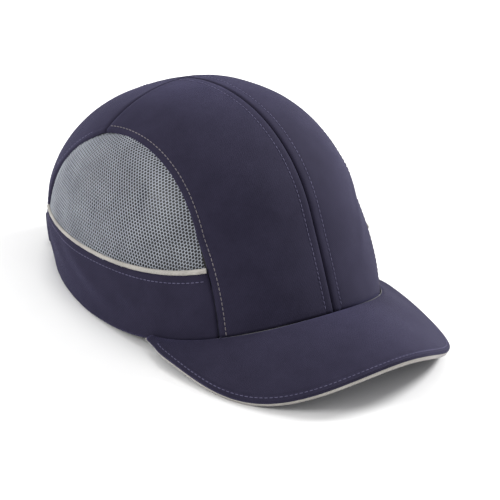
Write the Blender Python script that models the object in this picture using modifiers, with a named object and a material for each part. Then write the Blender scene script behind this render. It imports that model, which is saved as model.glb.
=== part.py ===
"""Bump cap: fabric baseball-style cap over a removable padded plastic insert.

Metres, +Z up. The peak points along -Y and the cap stands on its rim, its lowest point at z = 0.
Angles run around the crown: 0 at the forehead, +90 degrees over the wearer's left ear (+X).
"""
import math

import bmesh
import bpy
from mathutils import Vector

MM = 0.001

# Crown, an egg-shaped dome leaning back over the wearer's head
CROWN_HALF_WIDTH = 90.0 * MM
CROWN_FRONT_REACH = 103.3 * MM
CROWN_REAR_REACH = 109.3 * MM
REAR_ARC_SHARE = 0.98
CROWN_RISE = 101.8 * MM
CROWN_WALL_POWER = 2.2158
CROWN_TOP_POWER = 2.2919
CROWN_FRONT_ROUNDNESS = 2.1061
CROWN_REAR_ROUNDNESS = 2.1383
CROWN_TOP_SHIFT = 13.1 * MM
CROWN_LEAN = math.radians(-30.4)
SKIRT_DEPTH = 50.0 * MM
SKIRT_CURL = 0.0089
SKIRT_SIDE_FLARE = 0.026
SKIRT_REAR_FLARE = -0.0026
SKIRT_FULLNESS = 2.6 * MM
SKIRT_FULL_ANGLE = math.radians(52.0)
SKIRT_FULL_SPREAD = math.radians(26.0)
SKIRT_FULL_DEPTH = 62.0 * MM
STAND_HEIGHT = 38.4 * MM

# Lower rim of the crown: high over the forehead, level behind the ears
RIM_FRONT_HEIGHT = 33.4 * MM
RIM_LEVEL_ANGLE = math.radians(108.0)

# Fabric panels
FABRIC_THICKNESS = 1.2 * MM
SEAM_GAP = 0.3 * MM
SIDE_SEAM_X = 63.5 * MM
SIDE_SEAM_Y = 36.5 * MM
SIDE_SEAM_FRONT_SLOPE = 0.036
SIDE_SEAM_REAR_SLOPE = 0.158

# Side piping between the mesh and the side band
PIPING_LOW_HEIGHT = 40.4 * MM
PIPING_LOW_ANGLE = 112.0
PIPING_SWEEP = 0.0041 * MM
PIPING_HALF_WIDTH = 1.7 * MM
PIPING_PROUD = 0.7 * MM
PIPING_THICKNESS = 1.7 * MM
PIPING_GAP = 1.0 * MM
MESH_TOP_HEIGHT = 84.0 * MM
MESH_FRONT_ANGLE = math.radians(34.0)
MESH_REAR_ANGLE = math.radians(146.0)

# Peak
PEAK_SEAM_ANGLE = math.radians(73.0)
PEAK_HALF_WIDTH = 96.7 * MM
PEAK_SHOULDER = 9.8 * MM
PEAK_LENGTH = 130.8 * MM
PEAK_ROUNDNESS = 2.079
PEAK_SIDE_Y = -52.0 * MM
PEAK_TUCK = 4.2 * MM
PEAK_TUCK_START = math.radians(80.0)
PEAK_COVER_LIMIT = math.radians(86.0)
PEAK_PIPING_LIMIT = math.radians(89.0)
PEAK_TIP_HEIGHT = 27.8 * MM
PEAK_SIDE_DROP = 19.1 * MM
PEAK_SHOULDER_DROP = 14.7 * MM
PEAK_CROWNING = 1.2 * MM
PEAK_BOARD_THICKNESS = 1.6 * MM
PEAK_LAYER_GAP = 1.3 * MM
PEAK_COVER_THICKNESS = 0.8 * MM
PEAK_PIPING_RADIUS = 1.9 * MM
PEAK_SEAM_CLEARANCE = 0.6 * MM

# Rear opening and its strap
ARCH_HALF_WIDTH = 46.0 * MM
ARCH_HEIGHT = 54.0 * MM
BINDING_RADIUS = 1.7 * MM
BINDING_CLEARANCE = 0.4 * MM
STRAP_LOW = 5.0 * MM
STRAP_HIGH = 22.5 * MM
STRAP_THICKNESS = 1.2 * MM
STRAP_STAND_OFF = 2.3 * MM
STRAP_LAP_INSET = 3.3 * MM
STRAP_LAP_ANGLE = math.radians(141.5)
STRAP_EMERGE_ANGLE = math.radians(156.0)
STRAP_EMERGED_ANGLE = math.radians(176.0)
RING_ANGLE = math.radians(208.0)
RING_WIRE_RADIUS = 1.0 * MM
RING_FOLD_RADIUS = 2.7 * MM
RING_HALF_HEIGHT = 11.2 * MM
HINGE_GAP = 1.1 * MM
RING_WIDTH = 8.0 * MM
RING_CORNER = 2.0 * MM
RING_REST_INSET = -3.1 * MM
TAB_INSET = -1.0 * MM
TAB_LENGTH = 18.0 * MM
FOLD_OVERHANG = 3.0 * MM
TAIL_LENGTH = 44.0 * MM

# Sweatband and seam tape
BAND_INSET = 1.6 * MM
BAND_THICKNESS = 1.4 * MM
BAND_HEIGHT = 30.0 * MM
BAND_END_ANGLE = math.radians(140.0)
TAPE_INSET = 1.6 * MM
TAPE_HALF_WIDTH = 7.0 * MM
TAPE_THICKNESS = 0.8 * MM

# Insert: plastic shell with foam pads inside it
SHELL_INSET = 4.6 * MM
SHELL_THICKNESS = 2.2 * MM
SHELL_RIM_RISE = 14.0 * MM
SHELL_REAR_LIFT = 46.0 * MM
SHELL_RISE_START = math.radians(112.0)
SHELL_RISE_END = math.radians(158.0)
SLOT_WIDTH = 7.0 * MM
SLOT_LENGTH = 24.0 * MM
SLOT_HEIGHT = 30.0 * MM
SLOT_ANGLES = (66.0, 90.0, 114.0)
SLOT_DEPTH = 40.0 * MM
PAD_GAP = 1.2 * MM
PAD_THICKNESS = 4.0 * MM
PAD_INSET = SHELL_INSET + SHELL_THICKNESS + PAD_GAP
CROWN_PAD_HEIGHT = 66.0 * MM
FRONT_PAD_LOW = 22.0 * MM
FRONT_PAD_HIGH = 58.0 * MM
SIDE_PAD_LOW = 12.0 * MM
SIDE_PAD_HIGH = 60.0 * MM


def new_collection(name):
    collection = bpy.data.collections.new(name)
    bpy.context.scene.collection.children.link(collection)
    return collection


def make_material(name, colour, roughness, metallic=0.0):
    material = bpy.data.materials.new(name)
    material.use_nodes = True
    shader = material.node_tree.nodes["Principled BSDF"]
    shader.inputs["Base Color"].default_value = (*colour, 1.0)
    shader.inputs["Roughness"].default_value = roughness
    shader.inputs["Metallic"].default_value = metallic
    return material


def clamp(value, low, high):
    return max(low, min(high, value))


def signed_power(value, power):
    return math.copysign(abs(value) ** power, value)


def smooth_step(value):
    value = clamp(value, 0.0, 1.0)
    return value * value * (3.0 - 2.0 * value)


def wrapped(angle):
    """The same direction between -180 and +180 degrees."""
    return math.atan2(math.sin(angle), math.cos(angle))


def skirt_fullness(angle, height):
    """How far the lower front corners of the crown swell out."""
    across = (abs(wrapped(angle)) - SKIRT_FULL_ANGLE) / SKIRT_FULL_SPREAD
    down = clamp(-height / SKIRT_FULL_DEPTH, 0.0, 1.0)
    return SKIRT_FULLNESS * math.exp(-across * across) * math.sin(math.pi * down)


def crown_point(angle, height, inset=0.0):
    """Point of the crown at a height measured up the leaning dome, moved inwards by inset."""
    side = math.sin(angle)
    ahead = math.cos(angle)
    rise = CROWN_RISE - inset
    level = clamp(height / rise, 0.0, 1.0)
    if height >= 0.0:
        spread = (1.0 - level ** CROWN_TOP_POWER) ** (1.0 / CROWN_WALL_POWER)
    else:
        spread = 1.0 - SKIRT_CURL * (height / SKIRT_DEPTH) ** 2
    roundness = CROWN_FRONT_ROUNDNESS if ahead > 0.0 else CROWN_REAR_ROUNDNESS
    reach = (CROWN_FRONT_REACH if ahead > 0.0 else CROWN_REAR_REACH) - inset
    half_width = CROWN_HALF_WIDTH - inset
    flare = clamp(-height / SKIRT_DEPTH, 0.0, 2.0) ** 1.5
    rear_flare = SKIRT_REAR_FLARE * flare if ahead < 0.0 else 0.0
    full = skirt_fullness(angle, height)
    x = half_width * spread * signed_power(side, 2.0 / roundness) * (1.0 + SKIRT_SIDE_FLARE * flare)
    y = -reach * spread * signed_power(ahead, 2.0 / roundness) * (1.0 + rear_flare)
    x += full * side
    y += CROWN_TOP_SHIFT * level ** 1.5 - full * ahead
    lean_cos = math.cos(CROWN_LEAN)
    lean_sin = math.sin(CROWN_LEAN)
    return Vector((x, y * lean_cos - height * lean_sin,
                   y * lean_sin + height * lean_cos + STAND_HEIGHT))


def dome_height(angle, level, inset=0.0):
    """Height up the leaning dome at which it crosses a level above the table."""
    low = -0.5 * CROWN_RISE - SKIRT_DEPTH
    high = CROWN_RISE - inset
    for _ in range(40):
        middle = 0.5 * (low + high)
        if crown_point(angle, middle, inset).z < level:
            low = middle
        else:
            high = middle
    return 0.5 * (low + high)


def rim_level(angle):
    """Height of the crown's lower rim above the table."""
    turn = min(abs(wrapped(angle)), RIM_LEVEL_ANGLE) / RIM_LEVEL_ANGLE
    return RIM_FRONT_HEIGHT * 0.5 * (1.0 + math.cos(math.pi * turn))


def piping_level(angle):
    turn = PIPING_LOW_ANGLE - math.degrees(abs(wrapped(angle)))
    return PIPING_LOW_HEIGHT + PIPING_SWEEP * turn * turn


def rear_point(x, level, inset=0.0):
    """Point of the back of the crown at a sideways place and a level above the table."""
    near = math.pi
    far = math.pi / 2.0
    for _ in range(40):
        middle = 0.5 * (near + far)
        if crown_point(middle, dome_height(middle, level, inset), inset).x < abs(x):
            near = middle
        else:
            far = middle
    point = crown_point(near, dome_height(near, level, inset), inset)
    point.x = math.copysign(point.x, x)
    return point


def sheet_mesh(columns, rows, place):
    """Flat grid bent to the places that a function of two shares, 0 to 1, gives."""
    bm = bmesh.new()
    bmesh.ops.create_grid(bm, x_segments=columns, y_segments=rows, size=0.5)
    for vertex in bm.verts:
        vertex.co = place(vertex.co.x + 0.5, vertex.co.y + 0.5)
    bmesh.ops.remove_doubles(bm, verts=bm.verts, dist=0.02 * MM)
    return bm


def keep_side(bm, point, direction):
    """Cuts the sheet along a plane and keeps what lies against the direction."""
    everything = bm.verts[:] + bm.edges[:] + bm.faces[:]
    bmesh.ops.bisect_plane(bm, geom=everything, plane_co=point, plane_no=direction, clear_outer=True,
                           dist=0.01 * MM)


def add_object(name, bm, material):
    mesh = bpy.data.meshes.new(name)
    bm.to_mesh(mesh)
    bm.free()
    mesh.polygons.foreach_set("use_smooth", [True] * len(mesh.polygons))
    part = bpy.data.objects.new(name, mesh)
    PARTS.objects.link(part)
    part.data.materials.append(material)
    return part


def thicken(part, thickness, offset=-1.0):
    solidify = part.modifiers.new("Solidify", "SOLIDIFY")
    solidify.thickness = thickness
    solidify.offset = offset
    solidify.use_even_offset = False


def cut(part, cutter):
    boolean = part.modifiers.new("Cut", "BOOLEAN")
    boolean.operation = "DIFFERENCE"
    boolean.solver = "EXACT"
    boolean.object = cutter


def crown_sheet(columns, rows, start, end, inset, low_level):
    """Sheet of the crown from a level function up to the top of the dome."""
    def place(along, up):
        angle = start + (end - start) * along
        low = dome_height(angle, low_level(angle), inset)
        rise = CROWN_RISE - inset
        return crown_point(angle, low + (rise - low) * math.sin(up * math.pi / 2.0), inset)
    return sheet_mesh(columns, rows, place)


def band_sheet(columns, rows, start, end, low_level, high_level, inset=0.0):
    """Sheet of the crown between two levels above the table, each a function of the angle."""
    def place(along, up):
        angle = start + (end - start) * along
        low = dome_height(angle, low_level(angle), inset)
        high = dome_height(angle, high_level(angle), inset)
        return crown_point(angle, low + (high - low) * up, inset)
    return sheet_mesh(columns, rows, place)


def side_seam(side, front):
    """A point on the seam plane of one side, and the direction out towards the ear."""
    slope = -SIDE_SEAM_FRONT_SLOPE if front else SIDE_SEAM_REAR_SLOPE
    point = Vector((side * SIDE_SEAM_X, SIDE_SEAM_Y, 0.0))
    return point, Vector((side, -slope, 0.0)).normalized()


def crown_panel(name, side, front, material):
    """One quarter of the crown's top, between the centre seam and the side seam."""
    half_gap = 0.5 * SEAM_GAP
    start, end = (0.0, math.pi) if side > 0 else (-math.pi, 0.0)
    bm = crown_sheet(24, 13, start, end, 0.0, rim_level)
    keep_side(bm, Vector((side * half_gap, 0.0, 0.0)), Vector((-side, 0.0, 0.0)))
    facing = 1.0 if front else -1.0
    keep_side(bm, Vector((0.0, SIDE_SEAM_Y - facing * half_gap, 0.0)), Vector((0.0, facing, 0.0)))
    point, outward = side_seam(side, front)
    keep_side(bm, point - outward * half_gap, outward)
    panel = add_object(name, bm, material)
    thicken(panel, FABRIC_THICKNESS)
    return panel


def trim_to_side(bm, side, margin=0.0):
    for front in (True, False):
        point, outward = side_seam(side, front)
        keep_side(bm, point + outward * (0.5 * SEAM_GAP + margin), -outward)


def side_strip(name, side, material, low_level, high_level, rows, proud, thickness):
    """Strip of the side of the crown between the front and the rear seam."""
    start, end = (MESH_FRONT_ANGLE, MESH_REAR_ANGLE)
    if side < 0:
        start, end = (-MESH_REAR_ANGLE, -MESH_FRONT_ANGLE)
    bm = band_sheet(22, rows, start, end, low_level, high_level, -proud)
    trim_to_side(bm, side, SEAM_GAP + 1.1 * proud)
    strip = add_object(name, bm, material)
    thicken(strip, thickness)
    return strip


def side_mesh(name, side, material):
    """Breathable net from the piping up to the side seam."""
    start, end = (MESH_FRONT_ANGLE, MESH_REAR_ANGLE)
    if side < 0:
        start, end = (-MESH_REAR_ANGLE, -MESH_FRONT_ANGLE)

    def place(along, up):
        angle = start + (end - start) * along
        level = piping_level(angle) + PIPING_HALF_WIDTH + PIPING_GAP
        low = dome_height(angle, level)
        return crown_point(angle, low + (MESH_TOP_HEIGHT - low) * up)

    bm = sheet_mesh(22, 9, place)
    trim_to_side(bm, side, SEAM_GAP)
    net = add_object(name, bm, material)
    thicken(net, FABRIC_THICKNESS)
    return net


def build_crown():
    navy = make_material("navy_twill", (0.030, 0.029, 0.060), 0.75)
    net = make_material("grey_net", (0.20, 0.25, 0.32), 0.8)
    reflective = make_material("reflective_piping", (0.58, 0.56, 0.52), 0.5)
    arch = arch_cutter()
    for side, word in ((1, "left"), (-1, "right")):
        crown_panel("front_panel_" + word, side, True, navy)
        cut(crown_panel("rear_panel_" + word, side, False, navy), arch)
        side_mesh("side_mesh_" + word, side, net)
        side_strip("side_band_" + word, side, navy, rim_level,
                   lambda angle: piping_level(angle) - PIPING_HALF_WIDTH - PIPING_GAP,
                   4, 0.0, FABRIC_THICKNESS)
        side_strip("side_piping_" + word, side, reflective,
                   lambda angle: piping_level(angle) - PIPING_HALF_WIDTH,
                   lambda angle: piping_level(angle) + PIPING_HALF_WIDTH,
                   1, PIPING_PROUD, PIPING_THICKNESS)


def arch_place(turn, shrink, level_floor):
    """Point on the arched rear opening's outline, 0 at its left foot and pi at its right foot."""
    x = (ARCH_HALF_WIDTH - shrink) * math.cos(turn)
    level = max(level_floor, (ARCH_HEIGHT - shrink) * math.sin(turn))
    return x, level


def arch_cutter():
    """Half-ellipse run through the back of the crown."""
    bm = bmesh.new()
    bmesh.ops.create_cone(bm, segments=48, radius1=1.0, radius2=1.0, depth=2.0, cap_ends=True)
    for vertex in bm.verts:
        x, y, z = vertex.co
        vertex.co = Vector((x * ARCH_HALF_WIDTH, 0.100 + z * 0.045, -y * ARCH_HEIGHT))
    bmesh.ops.recalc_face_normals(bm, faces=bm.faces)
    mesh = bpy.data.meshes.new("rear_arch_cutter")
    bm.to_mesh(mesh)
    bm.free()
    cutter = bpy.data.objects.new("rear_arch_cutter", mesh)
    CUTTERS.objects.link(cutter)
    cutter.display_type = "WIRE"
    cutter.hide_render = True
    return cutter


def tube_along(name, points, radius, material, cyclic=False, resolution=2):
    curve = bpy.data.curves.new(name, "CURVE")
    curve.dimensions = "3D"
    curve.bevel_depth = radius
    curve.bevel_resolution = resolution
    curve.use_fill_caps = True
    spline = curve.splines.new("POLY")
    spline.points.add(len(points) - 1)
    for spot, point in zip(spline.points, points):
        spot.co = (*point, 1.0)
    spline.use_cyclic_u = cyclic
    tube = bpy.data.objects.new(name, curve)
    PARTS.objects.link(tube)
    curve.materials.append(material)
    return tube


def build_rear_opening():
    tape = make_material("binding_tape", (0.020, 0.020, 0.030), 0.8)
    shrink = BINDING_RADIUS + BINDING_CLEARANCE
    turns = [math.pi * step / 24.0 for step in range(25)]
    outline = [arch_place(turn, shrink, BINDING_RADIUS + 0.2 * MM) for turn in turns]
    points = [rear_point(x, level, 0.5 * FABRIC_THICKNESS) for x, level in outline]
    tube_along("rear_arch_binding", points, BINDING_RADIUS, tape)


def peak_edge(turn):
    """Outer edge of the peak, 0 at the tip and 90 degrees at the left corner."""
    side = math.sin(turn)
    ahead = abs(math.cos(turn))
    shoulder = math.sin(2.0 * turn) ** 2
    tuck = smooth_step((abs(turn) - PEAK_TUCK_START) / (math.pi / 2.0 - PEAK_TUCK_START))
    x = PEAK_HALF_WIDTH * abs(side) ** (2.0 / PEAK_ROUNDNESS) + PEAK_SHOULDER * shoulder
    x -= PEAK_TUCK * tuck
    y = PEAK_SIDE_Y - PEAK_LENGTH * ahead ** (2.0 / PEAK_ROUNDNESS)
    z = PEAK_TIP_HEIGHT - PEAK_SIDE_DROP * side * side - PEAK_SHOULDER_DROP * shoulder
    return Vector((math.copysign(x, side), y, z))


def peak_point(turn, share, back, lift):
    """Point of the peak from its seam (share 0) to its edge less a margin (share 1)."""
    angle = PEAK_SEAM_ANGLE * turn / (math.pi / 2.0)
    seam = crown_point(angle, dome_height(angle, rim_level(angle)), -PEAK_SEAM_CLEARANCE)
    edge = peak_edge(turn)
    edge += (seam - edge).normalized() * back
    point = seam.lerp(edge, share)
    point.z += lift + PEAK_CROWNING * 4.0 * share * (1.0 - share)
    return point


def peak_layer(name, lift, thickness, back, material):
    def place(along, out):
        return peak_point(PEAK_COVER_LIMIT * (2.0 * along - 1.0), 1.0 - out, back, lift)

    layer = add_object(name, sheet_mesh(32, 5, place), material)
    thicken(layer, thickness)
    return layer


def build_peak():
    navy = make_material("peak_twill", (0.030, 0.029, 0.060), 0.75)
    board = make_material("peak_board", (0.55, 0.55, 0.53), 0.6)
    reflective = make_material("peak_piping", (0.58, 0.56, 0.52), 0.5)
    half_board = 0.5 * PEAK_BOARD_THICKNESS
    cover_back = 2.0 * PEAK_PIPING_RADIUS + 3.0 * SEAM_GAP
    peak_layer("peak_board", half_board, PEAK_BOARD_THICKNESS, cover_back, board)
    peak_layer("peak_top_cover", half_board + PEAK_LAYER_GAP + PEAK_COVER_THICKNESS,
               PEAK_COVER_THICKNESS, cover_back, navy)
    peak_layer("peak_under_cover", -half_board - PEAK_LAYER_GAP, PEAK_COVER_THICKNESS, cover_back, navy)
    turns = [PEAK_PIPING_LIMIT * step / 26.0 for step in range(-26, 27)]
    points = [peak_point(turn, 1.0, PEAK_PIPING_RADIUS, 0.0) for turn in turns]
    tube_along("peak_piping", points, PEAK_PIPING_RADIUS, reflective)


def strap_ribbon(name, path, material):
    """Upright ribbon along a list of (angle, inset) stations at the back of the crown."""
    last = len(path) - 1

    def place(along, up):
        angle, inset = path[round(along * last)]
        level = STRAP_LOW + (STRAP_HIGH - STRAP_LOW) * up
        return crown_point(angle, dome_height(angle, level, 0.0), inset)

    ribbon = add_object(name, sheet_mesh(last, 2, place), material)
    thicken(ribbon, STRAP_THICKNESS, 0.0)
    return ribbon


def arc_step(distance):
    """Angle that a distance along the back of the crown spans."""
    return distance / (CROWN_REAR_REACH * REAR_ARC_SHARE)


def build_strap():
    loop = make_material("loop_webbing", (0.025, 0.025, 0.035), 0.9)
    hook = make_material("hook_webbing", (0.022, 0.022, 0.030), 0.9)
    plastic = make_material("ring_plastic", (0.015, 0.015, 0.018), 0.4)
    inner = -STRAP_STAND_OFF
    outer = inner - 2.0 * RING_FOLD_RADIUS
    centre = inner - RING_FOLD_RADIUS
    path = []
    run = 26
    for step in range(run + 1):
        share = step / run
        angle = STRAP_LAP_ANGLE + (RING_ANGLE - STRAP_LAP_ANGLE) * share
        emerged = smooth_step((angle - STRAP_EMERGE_ANGLE) / (STRAP_EMERGED_ANGLE - STRAP_EMERGE_ANGLE))
        path.append((angle, STRAP_LAP_INSET + (inner - STRAP_LAP_INSET) * emerged))
    for step in range(1, 9):
        bend = math.pi * step / 8.0
        reach = RING_FOLD_RADIUS * math.sin(bend)
        path.append((RING_ANGLE + arc_step(reach), centre + RING_FOLD_RADIUS * math.cos(bend)))
    path.append((RING_ANGLE - arc_step(FOLD_OVERHANG), outer))
    strap_ribbon("loop_strap", path, loop)

    hinge_angle = RING_ANGLE - arc_step(FOLD_OVERHANG + HINGE_GAP)
    middle = 0.5 * (STRAP_LOW + STRAP_HIGH)
    hinge = bpy.data.objects.new("strap_tail_hinge", None)
    hinge.location = crown_point(hinge_angle, dome_height(hinge_angle, middle), outer)
    PARTS.objects.link(hinge)
    tail_path = []
    for step in range(15):
        tail_path.append((hinge_angle - arc_step(TAIL_LENGTH) * step / 14.0, outer))
    tail_path.reverse()
    tail = strap_ribbon("hook_tail", tail_path, hook)
    tail.parent = hinge
    tail.location = -hinge.location

    tab_path = []
    for step in range(8):
        tab_path.append((RING_ANGLE + arc_step(0.6 * RING_WIDTH + TAB_LENGTH * step / 7.0), TAB_INSET))
    strap_ribbon("ring_tab", tab_path, loop)
    build_ring(centre, middle, plastic)


def build_ring(near_inset, middle, material):
    """Rounded rectangular ring, its near bar inside the strap's fold."""
    start = crown_point(RING_ANGLE, dome_height(RING_ANGLE, middle), near_inset)
    far_angle = RING_ANGLE + arc_step(RING_WIDTH)
    along = crown_point(far_angle, dome_height(far_angle, middle), RING_REST_INSET) - start
    along.z = 0.0
    along.normalize()
    low = crown_point(RING_ANGLE, dome_height(RING_ANGLE, STRAP_LOW), near_inset)
    high = crown_point(RING_ANGLE, dome_height(RING_ANGLE, STRAP_HIGH), near_inset)
    upward = (high - low).normalized()
    half_width = 0.5 * RING_WIDTH - RING_CORNER
    half_height = RING_HALF_HEIGHT - RING_CORNER
    points = []
    for quarter, (across_sign, rise_sign) in enumerate(((1, 1), (-1, 1), (-1, -1), (1, -1))):
        for step in range(4):
            bend = math.pi / 2.0 * (quarter + step / 3.0)
            across = across_sign * half_width + RING_CORNER * math.cos(bend)
            rise = rise_sign * half_height + RING_CORNER * math.sin(bend)
            points.append(start + along * (0.5 * RING_WIDTH + across) + upward * rise)
    tube_along("strap_ring", points, RING_WIRE_RADIUS, material, cyclic=True)


def build_inner_fabric():
    tape = make_material("seam_tape", (0.030, 0.030, 0.045), 0.8)
    band = make_material("sweatband_cloth", (0.020, 0.020, 0.030), 0.85)
    sweatband = add_object("sweatband", band_sheet(44, 3, -BAND_END_ANGLE, BAND_END_ANGLE, rim_level,
                                                   lambda angle: rim_level(angle) + BAND_HEIGHT,
                                                   BAND_INSET), band)
    thicken(sweatband, BAND_THICKNESS)
    bm = crown_sheet(48, 20, -math.pi, math.pi, TAPE_INSET,
                     lambda angle: rim_level(angle) + BAND_HEIGHT + 2.0 * MM)
    for side in (1, -1):
        keep_side(bm, Vector((side * TAPE_HALF_WIDTH, 0.0, 0.0)), Vector((side, 0.0, 0.0)))
    top_of_arch = ARCH_HEIGHT + 2.0 * MM
    rear_floor = [face for face in bm.faces
                  if face.calc_center_median().y > 0.0 and face.calc_center_median().z < top_of_arch]
    bmesh.ops.delete(bm, geom=rear_floor, context="FACES")
    seam_tape = add_object("centre_seam_tape", bm, tape)
    thicken(seam_tape, TAPE_THICKNESS)


def shell_rim(angle):
    turn = abs(wrapped(angle))
    back = smooth_step((turn - SHELL_RISE_START) / (SHELL_RISE_END - SHELL_RISE_START))
    return rim_level(angle) + SHELL_RIM_RISE + SHELL_REAR_LIFT * back


def slot_cutter(name, angle, height, tilt):
    """Capsule pushed through the shell, square to it."""
    bm = bmesh.new()
    bmesh.ops.create_cone(bm, segments=16, radius1=0.5 * SLOT_WIDTH, radius2=0.5 * SLOT_WIDTH,
                          depth=SLOT_DEPTH, cap_ends=True)
    half_run = 0.5 * (SLOT_LENGTH - SLOT_WIDTH)
    for vertex in bm.verts:
        vertex.co.x += math.copysign(half_run, vertex.co.x)
    mesh = bpy.data.meshes.new(name)
    bm.to_mesh(mesh)
    bm.free()
    cutter = bpy.data.objects.new(name, mesh)
    CUTTERS.objects.link(cutter)
    spot = crown_point(angle, height, SHELL_INSET)
    outward = (spot - Vector((0.0, 0.02, 0.05))).normalized()
    cutter.rotation_euler = outward.to_track_quat("Z", "Y").to_euler()
    cutter.rotation_euler.rotate_axis("Z", tilt)
    cutter.location = spot
    cutter.display_type = "WIRE"
    cutter.hide_render = True
    return cutter


def build_insert():
    plastic = make_material("insert_plastic", (0.02, 0.02, 0.022), 0.45)
    foam = make_material("pad_foam", (0.06, 0.06, 0.065), 0.95)
    dome = crown_sheet(44, 11, -math.pi, math.pi, SHELL_INSET, shell_rim)
    shell = add_object("insert_shell", dome, plastic)
    thicken(shell, SHELL_THICKNESS)
    number = 0
    for side in (1, -1):
        for degrees in SLOT_ANGLES:
            number += 1
            name = "vent_cutter_%d" % number
            cut(shell, slot_cutter(name, side * math.radians(degrees), SLOT_HEIGHT, math.pi / 2.0))

    def crown_place(along, up):
        angle = 2.0 * math.pi * along - math.pi
        rise = CROWN_RISE - PAD_INSET
        return crown_point(angle, CROWN_PAD_HEIGHT + (rise - CROWN_PAD_HEIGHT) * math.sin(up * math.pi / 2.0),
                           PAD_INSET)

    thicken(add_object("crown_pad", sheet_mesh(28, 4, crown_place), foam), PAD_THICKNESS)
    pad_strip("front_pad", -30.0, 30.0, above_rim(FRONT_PAD_LOW), above_rim(FRONT_PAD_HIGH), foam)
    pad_strip("side_pad_left", 54.0, 124.0, dome_level(SIDE_PAD_LOW), dome_level(SIDE_PAD_HIGH), foam)
    pad_strip("side_pad_right", -124.0, -54.0, dome_level(SIDE_PAD_LOW), dome_level(SIDE_PAD_HIGH), foam)


def above_rim(rise):
    """Level a fixed rise above the rim, for each angle."""
    return lambda angle: rim_level(angle) + rise


def dome_level(height):
    """Level of the pads at a height up the leaning dome, for each angle."""
    return lambda angle: crown_point(angle, height, PAD_INSET).z


def pad_strip(name, start, end, low_at, high_at, material):
    """Foam pad inside the shell, between two levels."""
    bm = band_sheet(9, 3, math.radians(start), math.radians(end), low_at, high_at, PAD_INSET)
    thicken(add_object(name, bm, material), PAD_THICKNESS)


for old in list(bpy.data.objects):
    bpy.data.objects.remove(old, do_unlink=True)
PARTS = new_collection("bump_cap")
CUTTERS = new_collection("bump_cap_cutters")
CUTTERS.hide_render = True
build_crown()
build_rear_opening()
build_peak()
build_strap()
build_inner_fabric()
build_insert()
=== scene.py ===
import math

import bmesh
import bpy
import numpy as np
from mathutils import Matrix, Vector, noise


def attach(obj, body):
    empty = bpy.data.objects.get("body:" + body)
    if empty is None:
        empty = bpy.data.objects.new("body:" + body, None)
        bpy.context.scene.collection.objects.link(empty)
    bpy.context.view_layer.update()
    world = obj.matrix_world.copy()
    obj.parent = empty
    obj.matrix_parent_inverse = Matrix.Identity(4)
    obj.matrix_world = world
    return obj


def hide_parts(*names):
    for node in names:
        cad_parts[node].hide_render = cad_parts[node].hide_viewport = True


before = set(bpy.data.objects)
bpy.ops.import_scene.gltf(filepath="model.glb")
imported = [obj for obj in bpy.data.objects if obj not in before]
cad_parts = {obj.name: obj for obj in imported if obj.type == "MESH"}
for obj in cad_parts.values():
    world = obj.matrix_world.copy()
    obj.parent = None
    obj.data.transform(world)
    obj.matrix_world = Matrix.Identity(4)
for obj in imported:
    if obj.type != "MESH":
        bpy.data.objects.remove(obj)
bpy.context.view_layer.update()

MM = 0.001

# ---- the crown's own shape, the same leaning dome as the CAD model ----
HALF_WIDTH = 90.0 * MM
FRONT_REACH = 103.3 * MM
REAR_REACH = 109.3 * MM
RISE = 101.8 * MM
WALL_POWER = 2.2158
TOP_POWER = 2.2919
FRONT_ROUND = 2.1061
REAR_ROUND = 2.1383
TOP_SHIFT = 13.1 * MM
LEAN = math.radians(-30.4)
SKIRT = 50.0 * MM
STAND = 38.4 * MM
SKIRT_CURL = 0.0089
SKIRT_SIDE_FLARE = 0.026
SKIRT_REAR_FLARE = -0.0026
SKIRT_FULLNESS = 2.6 * MM
SKIRT_FULL_ANGLE = math.radians(52.0)
SKIRT_FULL_SPREAD = math.radians(26.0)
SKIRT_FULL_DEPTH = 0.062
RIM_FRONT = 33.4 * MM
RIM_LEVEL_ANGLE = math.radians(108.0)
SEAM_X = 63.5 * MM
SEAM_Y = 36.5 * MM
FRONT_SLOPE = -0.036
REAR_SLOPE = 0.158
ARCH_HALF_WIDTH = 46.0 * MM
ARCH_HEIGHT = 54.0 * MM
BINDING_RADIUS = 1.7 * MM
SEAM_HALF_GAP = 0.22 * MM
STRAP_LOW = 5.0 * MM
STRAP_HIGH = 22.5 * MM


def signed_power(value, power):
    return np.sign(value) * np.abs(value) ** power


def step_smooth(value):
    value = np.clip(value, 0.0, 1.0)
    return value * value * (3.0 - 2.0 * value)


def wrapped(angle):
    return np.arctan2(np.sin(angle), np.cos(angle))


def crown(angle, height, inset=0.0):
    """Points of the crown; the angle is 0 at the forehead and +90 degrees over the left ear."""
    angle, height, inset = np.broadcast_arrays(np.asarray(angle, float), height, inset)
    side, ahead = np.sin(angle), np.cos(angle)
    rise = RISE - inset
    level = np.clip(height / rise, 0.0, 1.0)
    spread = np.where(height >= 0.0, (1.0 - level ** TOP_POWER) ** (1.0 / WALL_POWER),
                      1.0 - SKIRT_CURL * (height / SKIRT) ** 2)
    roundness = np.where(ahead > 0.0, FRONT_ROUND, REAR_ROUND)
    reach = np.where(ahead > 0.0, FRONT_REACH, REAR_REACH) - inset
    flare = np.clip(-height / SKIRT, 0.0, 2.0) ** 1.5
    rear_flare = np.where(ahead < 0.0, SKIRT_REAR_FLARE * flare, 0.0)
    across = (np.abs(wrapped(angle)) - SKIRT_FULL_ANGLE) / SKIRT_FULL_SPREAD
    sunk = np.clip(-height / SKIRT_FULL_DEPTH, 0.0, 1.0)
    full = SKIRT_FULLNESS * np.exp(-across ** 2) * np.sin(math.pi * sunk)
    x = (HALF_WIDTH - inset) * spread * signed_power(side, 2.0 / roundness) * (1.0 + SKIRT_SIDE_FLARE * flare)
    y = -reach * spread * signed_power(ahead, 2.0 / roundness) * (1.0 + rear_flare)
    x = x + full * side
    y = y + TOP_SHIFT * level ** 1.5 - full * ahead
    c, s = math.cos(LEAN), math.sin(LEAN)
    return np.stack([x, y * c - height * s, y * s + height * c + STAND], -1)


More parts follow.
